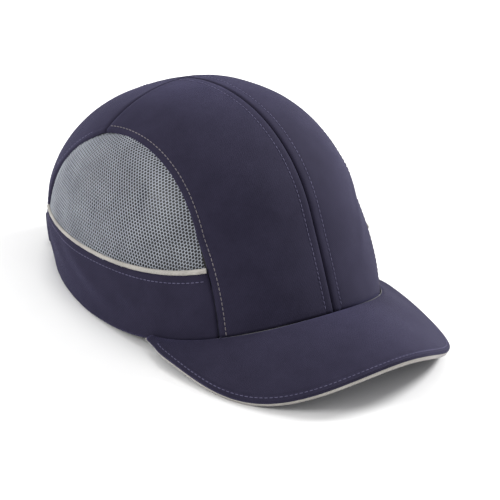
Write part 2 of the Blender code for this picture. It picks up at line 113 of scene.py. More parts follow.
def dome_height(angle, level, inset=0.0):
    angle = np.asarray(angle, float)
    low = np.full(angle.shape, -0.5 * RISE - SKIRT)
    high = np.full(angle.shape, RISE - 0.0005) - inset
    for _ in range(36):
        middle = 0.5 * (low + high)
        under = crown(angle, middle, inset)[..., 2] < level
        low, high = np.where(under, middle, low), np.where(under, high, middle)
    return 0.5 * (low + high)


def at_level(angle, level, inset=0.0):
    return crown(angle, dome_height(angle, level, inset), inset)


def normals_at(angle, height):
    step_a, step_h = 0.004, 0.0004
    along = crown(angle + step_a, height) - crown(angle - step_a, height)
    up = crown(angle, np.minimum(height + step_h, RISE * 0.9999)) - crown(angle, height - step_h)
    n = np.cross(along, up)
    return n / np.maximum(np.linalg.norm(n, axis=-1, keepdims=True), 1e-12)


def rim_level(angle):
    turn = np.minimum(np.abs(wrapped(angle)), RIM_LEVEL_ANGLE) / RIM_LEVEL_ANGLE
    return RIM_FRONT * 0.5 * (1.0 + np.cos(math.pi * turn))


def piping_level(angle):
    return 40.4 * MM + 0.0041 * MM * (112.0 - np.degrees(np.abs(wrapped(angle)))) ** 2


def guess_angle(points):
    """Angle round the crown of points that lie on it."""
    c, s = math.cos(LEAN), math.sin(LEAN)
    y, z = points[..., 1], points[..., 2] - STAND
    y_dome = y * c + z * s
    z_dome = -y * s + z * c
    y_dome = y_dome - TOP_SHIFT * np.clip(z_dome / RISE, 0.0, 1.0) ** 1.5
    reach = np.where(y_dome < 0.0, FRONT_REACH, REAR_REACH)
    return np.arctan2(points[..., 0] / HALF_WIDTH, -y_dome / reach)


# ---- small mesh tools ----
def grid(columns, rows, place):
    bm = bmesh.new()
    bmesh.ops.create_grid(bm, x_segments=columns, y_segments=rows, size=0.5)
    verts = bm.verts[:]
    shares = np.array([(v.co.x + 0.5, v.co.y + 0.5) for v in verts])
    points = place(shares[:, 0], shares[:, 1])
    layer = bm.loops.layers.uv.new("cloth")
    flat = {v: s for v, s in zip(verts, shares)}
    for face in bm.faces:
        for loop in face.loops:
            u, w = flat[loop.vert]
            loop[layer].uv = (u, w)
    for v, p in zip(verts, points):
        v.co = p
    bmesh.ops.remove_doubles(bm, verts=bm.verts, dist=0.00002)
    return bm


def cloth_scale(bm, width, length):
    layer = bm.loops.layers.uv["cloth"]
    for face in bm.faces:
        for loop in face.loops:
            loop[layer].uv = (loop[layer].uv[0] * width, loop[layer].uv[1] * length)


def slice_at(bm, point, direction, clear):
    parts = bm.verts[:] + bm.edges[:] + bm.faces[:]
    bmesh.ops.bisect_plane(bm, geom=parts, plane_co=point, plane_no=direction, clear_outer=clear,
                           dist=0.00001)


FLOOR_CLEARANCE = 0.15 * MM


def finish_mesh(name, bm, material, body, nodes=(), thickness=0.0):
    for vertex in bm.verts:
        vertex.co.z = max(vertex.co.z, FLOOR_CLEARANCE)
    mesh = bpy.data.meshes.new(name)
    bm.to_mesh(mesh)
    bm.free()
    mesh.polygons.foreach_set("use_smooth", [True] * len(mesh.polygons))
    piece = bpy.data.objects.new(name, mesh)
    bpy.context.scene.collection.objects.link(piece)
    mesh.materials.append(material)
    if thickness:
        solid = piece.modifiers.new("thickness", "SOLIDIFY")
        solid.thickness = thickness
        solid.offset = -1.0
        solid.use_even_offset = False
    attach(piece, body)
    if nodes:
        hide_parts(*nodes)
    return piece


def face_area(bm):
    return sum(face.calc_area() for face in bm.faces)


# ---- materials ----
def material_nodes(name, roughness, sheen=0.0):
    material = bpy.data.materials.new(name)
    material.use_nodes = True
    tree = material.node_tree
    shader = tree.nodes["Principled BSDF"]
    shader.inputs["Roughness"].default_value = roughness
    shader.inputs["Sheen Weight"].default_value = sheen
    shader.inputs["Sheen Roughness"].default_value = 0.45
    shader.inputs["Specular IOR Level"].default_value = 0.08
    shader.inputs["Sheen Tint"].default_value = (0.42, 0.40, 0.85, 1.0)
    return material, tree, shader


def mottle(tree, shader, dark, light, scale):
    coords = tree.nodes.new("ShaderNodeTexCoord")
    cloud = tree.nodes.new("ShaderNodeTexNoise")
    cloud.inputs["Scale"].default_value = scale
    cloud.inputs["Detail"].default_value = 6.0
    cloud.inputs["Roughness"].default_value = 0.65
    ramp = tree.nodes.new("ShaderNodeValToRGB")
    ramp.color_ramp.elements[0].position = 0.32
    ramp.color_ramp.elements[1].position = 0.68
    ramp.color_ramp.elements[0].color = (*dark, 1.0)
    ramp.color_ramp.elements[1].color = (*light, 1.0)
    tree.links.new(coords.outputs["Object"], cloud.inputs["Vector"])
    tree.links.new(cloud.outputs["Fac"], ramp.inputs["Fac"])
    tree.links.new(ramp.outputs["Color"], shader.inputs["Base Color"])
    return coords, ramp


def woven(name, dark, light, roughness, sheen, yarn, depth, diagonal=True, use_uv=True):
    """Cloth: two crossing sets of yarns as bump, a soft mottle, and painted shade in the colour from the same
    yarn and fuzz height as the bump, darker in the hollows between yarns and lighter on their crests.
    """
    material, tree, shader = material_nodes(name, roughness, sheen)
    coords, ramp = mottle(tree, shader, dark, light, 60.0)
    source = coords.outputs["UV" if use_uv else "Object"]
    waves = []
    for turn in ((math.radians(45.0), math.radians(-45.0)) if diagonal else (0.0, math.pi / 2.0)):
        mapping = tree.nodes.new("ShaderNodeMapping")
        mapping.inputs["Rotation"].default_value = (0.0, 0.0, turn)
        mapping.inputs["Scale"].default_value = (1000.0, 1000.0, 1000.0)
        tree.links.new(source, mapping.inputs["Vector"])
        wave = tree.nodes.new("ShaderNodeTexWave")
        wave.inputs["Scale"].default_value = 0.314 / yarn * (1.0 if not waves else 0.5)
        wave.inputs["Distortion"].default_value = 0.6
        wave.inputs["Detail"].default_value = 1.0
        tree.links.new(mapping.outputs["Vector"], wave.inputs["Vector"])
        waves.append(wave)
    mix = tree.nodes.new("ShaderNodeMath")
    mix.operation = "MULTIPLY_ADD"
    mix.inputs[1].default_value = 0.45
    tree.links.new(waves[1].outputs["Fac"], mix.inputs[0])
    tree.links.new(waves[0].outputs["Fac"], mix.inputs[2])
    fuzz = tree.nodes.new("ShaderNodeTexNoise")
    fuzz.inputs["Scale"].default_value = 1400.0
    tree.links.new(coords.outputs["Object"], fuzz.inputs["Vector"])
    add = tree.nodes.new("ShaderNodeMath")
    add.operation = "MULTIPLY_ADD"
    add.inputs[1].default_value = 0.6
    tree.links.new(fuzz.outputs["Fac"], add.inputs[0])
    tree.links.new(mix.outputs["Value"], add.inputs[2])
    bump = tree.nodes.new("ShaderNodeBump")
    bump.inputs["Strength"].default_value = 0.55
    bump.inputs["Distance"].default_value = depth
    tree.links.new(add.outputs["Value"], bump.inputs["Height"])
    tree.links.new(bump.outputs["Normal"], shader.inputs["Normal"])
    # Painted shade and light: the base colour is multiplied by the bump's own yarn height, so the hollows
    # between yarns are painted darker and the crests lighter.
    yarn_relief_shade = tree.nodes.new("ShaderNodeMixRGB")
    yarn_relief_shade.blend_type = "MULTIPLY"
    yarn_relief_shade.inputs["Fac"].default_value = 0.35
    tree.links.new(ramp.outputs["Color"], yarn_relief_shade.inputs["Color1"])
    tree.links.new(add.outputs["Value"], yarn_relief_shade.inputs["Color2"])
    tree.links.new(yarn_relief_shade.outputs["Color"], shader.inputs["Base Color"])
    return material


def moulded(name, dark, light, roughness, grain):
    material, tree, shader = material_nodes(name, roughness)
    shader.inputs["Specular IOR Level"].default_value = 0.5
    coords, _ = mottle(tree, shader, dark, light, 35.0)
    texture = tree.nodes.new("ShaderNodeTexVoronoi")
    texture.inputs["Scale"].default_value = grain
    tree.links.new(coords.outputs["Object"], texture.inputs["Vector"])
    bump = tree.nodes.new("ShaderNodeBump")
    bump.inputs["Strength"].default_value = 0.35
    bump.inputs["Distance"].default_value = 0.00008
    tree.links.new(texture.outputs["Distance"], bump.inputs["Height"])
    tree.links.new(bump.outputs["Normal"], shader.inputs["Normal"])
    return material


NAVY = woven("navy_twill", (0.0165, 0.0145, 0.0290), (0.0215, 0.0190, 0.0370), 0.78, 0.14, 0.5, 0.00010)
NAVY_UNDER = woven("peak_under_twill", (0.014, 0.0135, 0.030), (0.019, 0.018, 0.038), 0.85, 0.2, 0.5, 0.0001)
NET = woven("grey_net", (0.25, 0.265, 0.30), (0.34, 0.36, 0.40), 0.7, 0.0, 0.25, 0.00006, use_uv=False)
PIPING = woven("light_piping", (0.30, 0.285, 0.26), (0.40, 0.38, 0.35), 0.55, 0.1, 0.4, 0.00006, use_uv=False)
TAPE = woven("dark_tape", (0.014, 0.014, 0.020), (0.020, 0.020, 0.028),
             0.85, 0.15, 0.7, 0.00012, False, False)
WEBBING = woven("strap_webbing", (0.014, 0.014, 0.022), (0.022, 0.022, 0.032),
                0.9, 0.3, 1.1, 0.00025, False, False)
BAND = woven("sweatband_cloth", (0.030, 0.030, 0.042), (0.045, 0.045, 0.058),
             0.92, 0.35, 0.9, 0.0002, False, False)
FOAM = woven("pad_cloth", (0.045, 0.046, 0.052), (0.065, 0.066, 0.074), 0.95, 0.3, 1.3, 0.0003, False, False)
THREAD = woven("lavender_thread", (0.075, 0.070, 0.120), (0.110, 0.104, 0.165),
               0.7, 0.2, 0.15, 0.00004, use_uv=False)
THREAD_PALE = woven("beige_thread", (0.13, 0.12, 0.125), (0.19, 0.17, 0.17),
                    0.7, 0.2, 0.15, 0.00004, use_uv=False)
THREAD_DARK = woven("dark_thread", (0.012, 0.012, 0.018), (0.02, 0.02, 0.028),
                    0.7, 0.2, 0.15, 0.00004, use_uv=False)
PLASTIC = moulded("shell_plastic", (0.011, 0.011, 0.012), (0.016, 0.016, 0.018), 0.42, 900.0)
RING_PLASTIC = moulded("ring_plastic", (0.012, 0.012, 0.014), (0.018, 0.018, 0.02), 0.35, 1400.0)


# ---- stitches ----
def stitch_row(name, points, normals, body, material, pitch=3.0, length=2.3, radius=0.24, lift=0.05):
    """A row of separate thread stitches along a line on the cloth."""
    points = np.asarray(points)
    steps = np.linalg.norm(np.diff(points, axis=0), axis=1)
    run = np.concatenate([[0.0], np.cumsum(steps)])
    count = int(run[-1] / (pitch * MM))
    bm = bmesh.new()
    profile = ((-0.5, 0.25, -0.30), (-0.36, 0.85, 0.0), (0.0, 1.0, 0.12), (0.36, 0.85, 0.0),
               (0.5, 0.25, -0.30))
    for index in range(count):
        middle = (index + 0.5) * run[-1] / count
        where = [middle - 0.5 * length * MM, middle, middle + 0.5 * length * MM]
        a, c, b = (np.array([np.interp(w, run, points[:, k]) for k in range(3)]) for w in where)
        n = np.array([np.interp(middle, run, normals[:, k]) for k in range(3)])
        n = n / np.linalg.norm(n)
        along = (b - a) / max(np.linalg.norm(b - a), 1e-9)
        across = np.cross(along, n)
        rings = []
        for share, thick, sink in profile:
            r = radius * MM * thick
            centre = c + (b - a) * share + n * (lift * MM + sink * radius * MM)
            ring = []
            for k in range(6):
                t = math.pi * k / 3.0
                ring.append(bm.verts.new(centre + across * r * 1.25 * math.cos(t) + n * r * math.sin(t)))
            rings.append(ring)
        for first, second in zip(rings, rings[1:]):
            for k in range(6):
                bm.faces.new((first[k], first[(k + 1) % 6], second[(k + 1) % 6], second[k]))
        bm.faces.new(rings[0][::-1])
        bm.faces.new(rings[-1])
    bmesh.ops.recalc_face_normals(bm, faces=bm.faces)
    return finish_mesh(name, bm, material, body)


def trace(measure, heights, start, end):
    """The angle at each dome height where a measure of the crown's points changes sign."""
    angles = []
    for height in heights:
        low, high = start, end
        at_low = measure(crown(low, height)) > 0.0
        if (measure(crown(high, height)) > 0.0) == at_low:
            angles.append(None)
            continue
        for _ in range(32):
            middle = 0.5 * (low + high)
            if (measure(crown(middle, height)) > 0.0) == at_low:
                low = middle
            else:
                high = middle
        angles.append(0.5 * (low + high))
    kept = [(a, h) for a, h in zip(angles, heights) if a is not None]
    return np.array(kept)


def seam_plane(side, front):
    slope = FRONT_SLOPE if front else REAR_SLOPE
    outward = np.array([side, -slope, 0.0])
    return np.array([side * SEAM_X, SEAM_Y, 0.0]), outward / np.linalg.norm(outward)


def off_seam(side, front, margin):
    point, outward = seam_plane(side, front)
    return lambda p: np.dot(p - point, outward) - margin


# ---- crown panels ----
# Soft folds: one down each front panel, one beside the rear arch, and slanting ones across each side band
FOLD_STEPS = 9
PANEL_FOLD_WIDTH = 4.5 * MM
PANEL_FOLD_HEIGHT = 0.8 * MM
BAND_FOLDS = 4
BAND_FOLD_START = 66.0
BAND_FOLD_STEP = 20.0
BAND_FOLD_SLANT = 24.0
BAND_FOLD_WIDTH = 6.0 * MM
BAND_FOLD_HEIGHT = 1.5 * MM
MOST_SINK = 0.3 * MM


def fold_line(start, start_level, end, end_level):
    """Points on the crown between two places, each given as degrees round and millimetres up."""
    angles = np.radians(np.linspace(start, end, FOLD_STEPS))
    return at_level(angles, np.linspace(start_level, end_level, FOLD_STEPS) * MM)


def make_folds():
    folds = []
    for side in (1.0, -1.0):
        front = fold_line(side * 60.0, 118.0, side * 20.0, 50.0)
        folds.append((front, PANEL_FOLD_WIDTH, PANEL_FOLD_HEIGHT))
        rear = fold_line(side * 150.0, 105.0, side * 146.0, 50.0)
        folds.append((rear, PANEL_FOLD_WIDTH, PANEL_FOLD_HEIGHT))
        for number in range(BAND_FOLDS):
            start = BAND_FOLD_START + BAND_FOLD_STEP * number
            height = BAND_FOLD_HEIGHT * (1.0 if number % 2 else 0.6)
            line = fold_line(side * (start + BAND_FOLD_SLANT), 36.0, side * start, 14.0)
            folds.append((line, BAND_FOLD_WIDTH, height))
    return folds


FOLDS = make_folds()


def crease_lift(points):
    """Soft folds along their lines, and a slow unevenness of the whole cloth."""
    lift = np.zeros(len(points))
    for line, width, height in FOLDS:
        nearest = np.full(len(points), np.inf)
        along = np.zeros(len(points))
        for number in range(FOLD_STEPS - 1):
            a, b = line[number], line[number + 1]
            share = np.clip(((points - a) @ (b - a)) / np.dot(b - a, b - a), 0.0, 1.0)
            gap = np.linalg.norm(points - (a + share[:, None] * (b - a)), axis=1)
            closer = gap < nearest
            nearest = np.where(closer, gap, nearest)
            along = np.where(closer, (number + share) / (FOLD_STEPS - 1), along)
        taper = np.sin(math.pi * along)
        lift += height * np.exp(-(nearest / width) ** 2) * taper
    slow = np.array([noise.noise(Vector(p) * 26.0) * 0.7 + noise.noise(Vector(p) * 70.0) * 0.2
                     for p in points])
    return np.maximum(lift + slow * MM, -MOST_SINK)


def groove(distance, depth, width):
    return -depth * MM * np.exp(-(distance / (width * MM)) ** 2)


def shape_cloth(bm, seams, rows=(), rim=True, piping=False, puff=0.16):
    """Sinks the cloth into its seams and under its topstitching, and puffs it between them."""
    bm.normal_update()
    verts = bm.verts[:]
    points = np.array([v.co for v in verts])
    normals = np.array([v.normal for v in verts])
    lift = crease_lift(points)
    calm = np.ones(len(points))
    for point, outward in seams:
        gap = np.maximum(-(points - point) @ outward, 0.0)
        calm *= step_smooth(gap / (5.0 * MM))
        lift += groove(gap, 1.3, 0.75) + puff * MM * np.exp(-((gap - 3.2 * MM) / (1.8 * MM)) ** 2)
    angle = guess_angle(points)
    if rim:
        gap = np.maximum(points[:, 2] - rim_level(angle), 0.0)
        lift += groove(gap, 0.8, 0.8)
        calm *= step_smooth(gap / (6.0 * MM))
    if piping:
        gap = np.abs(piping_level(angle) - points[:, 2])
        lift += groove(gap, 0.8, 2.6)
    for point, outward, distance in rows:
        gap = -(points - point) @ outward - distance
        lift += groove(gap, 0.22, 0.7)
    base = crease_lift(points)
    lift = lift - base + base * (0.25 + 0.75 * calm)
    for v, p, n, d in zip(verts, points, normals, lift):
        v.co = p + n * d


def cut_seams(bm, seams, rings=(0.45, 0.8, 1.3, 2.0, 3.0)):
    for point, outward in seams:
        slice_at(bm, Vector(point - outward * SEAM_HALF_GAP), Vector(outward), True)
        for ring in rings:
            slice_at(bm, Vector(point - outward * ring * MM), Vector(outward), False)


def panel_grid(side, columns, rows, start, end):
    def place(u, w):
        angle = side * (start + (end - start) * u)
        low = dome_height(angle, rim_level(angle))
        return crown(angle, low + (RISE - low) * np.sin(w * math.pi / 2.0))
    bm = grid(columns, rows, place)
    cloth_scale(bm, 0.30, 0.19)
    if side < 0:
        bmesh.ops.reverse_faces(bm, faces=bm.faces)
    return bm


def cut_arch(bm):
    """Takes the rear arch out of a panel and lays the cut's edge on the arch."""
    def inside(v):
        return (v.co.x / ARCH_HALF_WIDTH) ** 2 + (v.co.z / ARCH_HEIGHT) ** 2 < 1.0 and v.co.y > 0.04
    gone = [f for f in bm.faces if all(inside(v) for v in f.verts)]
    bmesh.ops.delete(bm, geom=gone, context="FACES")
    for v in bm.verts:
        if inside(v):
            k = 1.0 / math.sqrt((v.co.x / ARCH_HALF_WIDTH) ** 2 + (v.co.z / ARCH_HEIGHT) ** 2)
            v.co.x *= k
            v.co.z *= k


def crown_panels():
    for side, word in ((1, "left"), (-1, "right")):
        centre = (np.array([0.0, 0.0, 0.0]), np.array([-side, 0.0, 0.0], float))
        for front in (True, False):
            place = "front" if front else "rear"
            facing = 1.0 if front else -1.0
            cross = (np.array([0.0, SEAM_Y, 0.0]), np.array([0.0, facing, 0.0]))
            flank = seam_plane(side, front)
            bm = panel_grid(side, 110, 96, 0.0, math.pi)
            seams = [centre, cross, flank]
            cut_seams(bm, seams)
            for row in (5.6, 6.5, 7.4):
                slice_at(bm, Vector((side * row * MM, 0, 0)), Vector((side, 0, 0)), False)
            if not front:
                cut_arch(bm)
            shape_cloth(bm, seams, rows=[(*centre, 6.5 * MM), (*flank, 3.2 * MM)])
            area = face_area(bm)
            piece = finish_mesh(f"{place}_cloth_{word}", bm, NAVY, "cap", [f"{place}_panel_{word}"], 1.1 * MM)


def side_bands():
    for side, word in ((1, "left"), (-1, "right")):
        def place(u, w):
            angle = side * np.radians(34.0 + 112.0 * u)
            low = dome_height(angle, rim_level(angle))
            high = dome_height(angle, piping_level(angle) - 0.6 * MM)
            return crown(angle, low + (high - low) * w)
        bm = grid(130, 34, place)
        cloth_scale(bm, 0.19, 0.045)
        if side < 0:
            bmesh.ops.reverse_faces(bm, faces=bm.faces)
        seams = [seam_plane(side, True), seam_plane(side, False)]
        seams = [(point, -outward) for point, outward in seams]
        cut_seams(bm, seams)
        shape_cloth(bm, seams, rim=True, piping=True)
        area = face_area(bm)
        piece = finish_mesh(f"side_cloth_{word}", bm, NAVY, "cap", [f"side_band_{word}"], 1.1 * MM)


# ---- breathable nets ----
NET_PITCH = 2.25 * MM
NET_HOLE = 0.74
NET_THREAD = 0.40 * MM
NET_SPAN = 101.0 * MM
NET_CLIMB = 93.0 * MM


def on_side(side, t, s):
    """Point of the crown's side for cloth lengths measured back from mid-ear and up from the table."""
    y = 2.0 * MM + NET_SPAN * np.sin(t / NET_SPAN)
    z = 40.0 * MM + NET_CLIMB * np.sin(s / NET_CLIMB)
    c, sn = math.cos(LEAN), math.sin(LEAN)
    z0 = z - STAND
    y_dome = y * c + z0 * sn
    z_dome = -y * sn + z0 * c
    level = np.clip(z_dome / RISE, 0.0, 0.9999)
    spread = np.where(z_dome >= 0.0, (1.0 - level ** TOP_POWER) ** (1.0 / WALL_POWER),
                      1.0 - SKIRT_CURL * (z_dome / SKIRT) ** 2)
    y_dome = y_dome - TOP_SHIFT * level ** 1.5
    reach = np.where(y_dome < 0.0, FRONT_REACH, REAR_REACH)
    roundness = np.where(y_dome < 0.0, FRONT_ROUND, REAR_ROUND)
    ahead = np.clip(np.abs(y_dome) / (reach * spread), 0.0, 1.0) ** (roundness / 2.0)
    across = np.sqrt(np.maximum(1.0 - ahead ** 2, 0.0))
    flare = np.clip(-z_dome / SKIRT, 0.0, 2.0) ** 1.5
    x = HALF_WIDTH * spread * across ** (2.0 / roundness) * (1.0 + SKIRT_SIDE_FLARE * flare)
    return np.stack([side * x, y, z], -1)


def net_panel(side, word):
    bm = bmesh.new()
    cache = {}

    def vert(t, s):
        key = (round(t * 1e6), round(s * 1e6))
        if key not in cache:
            cache[key] = bm.verts.new(on_side(side, np.float64(t), np.float64(s)))
        return cache[key]

    def wanted(point):
        for front in (True, False):
            seam, outward = seam_plane(side, front)
            if np.dot(point - seam, outward) < -1.3 * MM:
                return False
        return point[2] > piping_level(guess_angle(point)) - 1.2 * MM

    outer = NET_PITCH / math.sqrt(3.0)
    columns = int(180.0 * MM / NET_PITCH)
    rows = int(92.0 * MM / (NET_PITCH * 0.866))
    for row in range(rows):
        for column in range(-columns // 2, columns // 2):
            t = (column + 0.5 * (row % 2)) * NET_PITCH
            s = -4.0 * MM + row * NET_PITCH * 0.866
            if abs(t) > 1.45 * NET_SPAN or not wanted(on_side(side, np.float64(t), np.float64(s))):
                continue
            ring, hole = [], []
            for k in range(6):
                bend = math.pi / 6.0 + math.pi * k / 3.0
                ring.append(vert(t + outer * math.cos(bend), s + outer * math.sin(bend)))
                hole.append(vert(t + outer * NET_HOLE * math.cos(bend),
                                 s + outer * NET_HOLE * 1.06 * math.sin(bend)))
            for k in range(6):
                corners = (ring[k], ring[(k + 1) % 6], hole[(k + 1) % 6], hole[k])
                bm.faces.new(corners)
    for front in (True, False):
        point, outward = seam_plane(side, front)
        slice_at(bm, Vector(point - outward * 0.5 * MM), Vector(-outward), True)
    bmesh.ops.recalc_face_normals(bm, faces=bm.faces)
    bm.normal_update()
    total = sum(f.normal.x * f.calc_area() for f in bm.faces)
    if total * side < 0:
        bmesh.ops.reverse_faces(bm, faces=bm.faces)
        bm.normal_update()
    points = np.array([v.co for v in bm.verts])
    normals = np.array([v.normal for v in bm.verts])
    sink = np.full(len(points), -0.35 * MM)
    for front in (True, False):
        point, outward = seam_plane(side, front)
        gap = (points - point) @ outward
        sink += groove(gap, 0.8, 2.2)
    sink += np.array([noise.noise(Vector(p) * 45.0) * 0.35 for p in points]) * MM
    for v, p, n, d in zip(bm.verts, points, normals, sink):
        v.co = p + n * d
    piece = finish_mesh(f"side_net_{word}", bm, NET, "cap", [f"side_mesh_{word}"], NET_THREAD)


# ---- swept soft edges ----
def sweep(name, points, ups, section, material, body, nodes=(), caps=True):
    """Sweeps a closed section (across, up) pairs, or a function of the share, along a line."""
    points, ups = np.asarray(points), np.asarray(ups)
    tangents = np.gradient(points, axis=0)
    tangents /= np.linalg.norm(tangents, axis=1, keepdims=True)
    bm = bmesh.new()
    rings = []
    last = len(points) - 1
    for index, (p, t, u) in enumerate(zip(points, tangents, ups)):
        across = np.cross(t, u)
        across /= np.linalg.norm(across)
        up = np.cross(across, t)
        shape = section(index / last) if callable(section) else section
        rings.append([bm.verts.new(p + across * a + up * b) for a, b in shape])
    count = len(rings[0])
    for first, second in zip(rings, rings[1:]):
        for k in range(count):
            bm.faces.new((first[k], first[(k + 1) % count], second[(k + 1) % count], second[k]))
    if caps:
        bm.faces.new(rings[0][::-1])
        bm.faces.new(rings[-1])
    bmesh.ops.recalc_face_normals(bm, faces=bm.faces)
    return finish_mesh(name, bm, material, body, nodes)


def oval(half_width, top, bottom, count=18):
    shape = []
    for k in range(count):
        t = 2.0 * math.pi * k / count
        rise = top if math.sin(t) > 0 else bottom
        shape.append((half_width * math.cos(t), rise * math.sin(t)))
    return shape


def side_pipings():
    for side, word in ((1, "left"), (-1, "right")):
        angles = side * np.radians(np.linspace(36.0, 144.0, 420))
        points = at_level(angles, piping_level(angles))
        keep = np.ones(len(angles), bool)
        for front in (True, False):
            point, outward = seam_plane(side, front)
            keep &= (points - point) @ outward > 0.2 * MM
        angles, points = angles[keep], points[keep]
        heights = dome_height(angles, piping_level(angles))
        ups = normals_at(angles, heights) * side * side
        ripple = np.array([noise.noise(Vector((a * 38.0, side * 3.0, 0.5))) for a in angles])

        def section(share):
            k = ripple[min(int(share * (len(ripple) - 1)), len(ripple) - 1)]
            half = 1.65 - 0.6 * share
            return oval((half + 0.12 * k) * MM, (1.1 + 0.2 * k) * MM, 0.9 * MM)
        piece = sweep(f"side_piping_cord_{word}", points, ups, section, PIPING, "cap",
                      [f"side_piping_{word}"])


# ---- peak ----
PEAK_SEAM_ANGLE = math.radians(73.0)
TUCK_START = math.radians(80.0)
PEAK_HALF_WIDTH = 96.7 * MM
PEAK_START = 52.0 * MM
PEAK_LENGTH = 130.8 * MM
PEAK_ROUNDNESS = 2.079
PEAK_SHOULDER_WIDTH = 9.8 * MM
PEAK_SHOULDER_DROP = 14.7 * MM
PEAK_TUCK = 4.2 * MM
PEAK_FRONT_LEVEL = 27.8 * MM
PEAK_SIDE_DROP = 19.1 * MM


def peak_edge(turn):
    side, ahead = np.sin(turn), np.abs(np.cos(turn))
    shoulder = np.sin(2.0 * turn) ** 2
    tuck = step_smooth((np.abs(turn) - TUCK_START) / (math.pi / 2.0 - TUCK_START))
    x = PEAK_HALF_WIDTH * np.abs(side) ** (2.0 / PEAK_ROUNDNESS)
    x = x + PEAK_SHOULDER_WIDTH * shoulder - PEAK_TUCK * tuck
    y = -PEAK_START - PEAK_LENGTH * ahead ** (2.0 / PEAK_ROUNDNESS)
    z = PEAK_FRONT_LEVEL - PEAK_SIDE_DROP * side ** 2 - PEAK_SHOULDER_DROP * shoulder
    return np.stack([np.sign(side) * x, y, z], -1)


def peak_middle(turn, share):
    angle = PEAK_SEAM_ANGLE * turn / (math.pi / 2.0)
    seam = at_level(angle, rim_level(angle), -0.1 * MM)
    share = np.asarray(share)[..., None]
    point = seam * (1.0 - share) + peak_edge(turn) * share
    point[..., 2] += (1.2 * MM * 4.0 * share * (1.0 - share))[..., 0]
    return point


def peak_frame(turn, share):
    """Middle surface, its upward normal and its outward direction."""
    share = np.clip(share, 0.0, 1.0)
    point = peak_middle(turn, share)
    along = peak_middle(turn + 0.004, share) - peak_middle(turn - 0.004, share)
    out = peak_middle(turn, share + 0.01) - peak_middle(turn, share - 0.01)
    normal = np.cross(out, along)
    normal *= np.sign(normal[..., 2:3] + 1e-12)
    normal /= np.linalg.norm(normal, axis=-1, keepdims=True)
    outward = np.cross(normal, np.cross(out, normal))
    outward /= np.linalg.norm(outward, axis=-1, keepdims=True)
    return point, normal, outward


PEAK_LIMIT = math.radians(88.6)
TOP_FACE = 2.1 * MM
UNDER_FACE = 2.7 * MM
ROLL = 0.9 * MM
ROLL_DROP = 1.9 * MM


def peak_span(turn):
    """How far the peak reaches from the crown to its edge, at each turn."""
    edge = peak_middle(turn, np.ones_like(turn))
    return np.linalg.norm(edge - peak_middle(turn, np.zeros_like(turn)), axis=-1)


def peak_cover(name, node, sign, material):
    """Top or under cloth of the peak, rolled over the edge as far as the piping."""
    roll_from = 0.86

    def place(u, w):
        turn = PEAK_LIMIT * (2.0 * u - 1.0)
        share = np.clip(w / roll_from, 0.0, 1.0)
        share = 1.0 - (1.0 - share) ** 1.25
        point, normal, outward = peak_frame(turn, share)
        bend = np.clip((w - roll_from) / (1.0 - roll_from), 0.0, 1.0) * math.pi / 2.0
        margin = peak_span(turn)
        back = share * margin
        front_gap = (1.0 - share) * margin
        face = TOP_FACE if sign > 0 else UNDER_FACE
        height = face - (ROLL_DROP if sign > 0 else ROLL) * (1.0 - np.cos(bend))
        height -= 1.6 * MM * np.exp(-(back / (0.9 * MM)) ** 2)
        height -= 0.20 * MM * np.exp(-((front_gap - 3.4 * MM) / (0.7 * MM)) ** 2)
        height -= 0.12 * MM * np.exp(-(front_gap / (1.2 * MM)) ** 2)
        reach = -ROLL + ROLL * np.sin(bend)
        pucker = np.array([noise.noise(Vector(p) * 210.0) for p in point]) * 0.16 * MM
        slow = np.array([noise.noise(Vector(p) * 30.0) for p in point]) * 0.5 * MM
        gathered = pucker * np.exp(-((front_gap - 3.4 * MM) / (3.0 * MM)) ** 2)
        height += gathered + slow * np.clip(front_gap / 0.02, 0, 1)
        shift = reach * step_smooth(share * 6.0)
        return point + normal * (sign * height)[:, None] + outward * shift[:, None]

    bm = grid(200, 60, place)
    cloth_scale(bm, 0.30, 0.075)
    if sign < 0:
        bmesh.ops.reverse_faces(bm, faces=bm.faces)
    bm.normal_update()
    up = sum(f.normal.z * f.calc_area() for f in bm.faces)
    if up * sign < 0:
        bmesh.ops.reverse_faces(bm, faces=bm.faces)
    piece = finish_mesh(name, bm, material, "cap", [node], 0.6 * MM)
    turns = np.radians(np.linspace(-84.0, 84.0, 500))
    span = peak_span(turns)
    share = 1.0 - 3.0 * MM / np.maximum(span, 6.0 * MM)
    point, normal, outward = peak_frame(turns, share)
    face = TOP_FACE if sign > 0 else UNDER_FACE
    stitch_row(name + "_stitches", point + normal * sign * (face - 0.12 * MM), normal * sign, "cap", THREAD)
    return piece


def peak_piping():
    turns = np.radians(np.linspace(-89.4, 89.4, 620))
    ones = np.ones_like(turns)
    point, normal, outward = peak_frame(turns, ones)
    middle = point - normal * 1.4 * MM - outward * 0.8 * MM

    def section(share):
        k = noise.noise(Vector((share * 90.0, 0.3, 7.0)))
        return [(b, a) for a, b in oval_pairs(2.0 * MM, (0.95 + 0.12 * k) * MM, 0.8 * MM)]
    piece = sweep("peak_edge_piping", middle, outward, section, PIPING, "cap", ["peak_piping"])


def oval_pairs(half_height, front, back, count=18):
    pairs = []
    for k in range(count):
        t = 2.0 * math.pi * k / count
        reach = front if math.cos(t) > 0 else back
        pairs.append((reach * math.cos(t), half_height * math.sin(t)))
    return pairs


# ---- pieces of two faces that meet at their edge: pads, bands and ribbons ----
def closed_pad(name, columns, rows, outer, inner, material, body, nodes):
    bm = bmesh.new()
    for place in (outer, inner):
        part = grid(columns, rows, place)
        mesh = bpy.data.meshes.new("half")
        part.to_mesh(mesh)
        part.free()
        bm.from_mesh(mesh)
        bpy.data.meshes.remove(mesh)
    bmesh.ops.remove_doubles(bm, verts=bm.verts, dist=0.00003)
    bmesh.ops.recalc_face_normals(bm, faces=bm.faces)
    piece = finish_mesh(name, bm, material, body, nodes)
    return piece


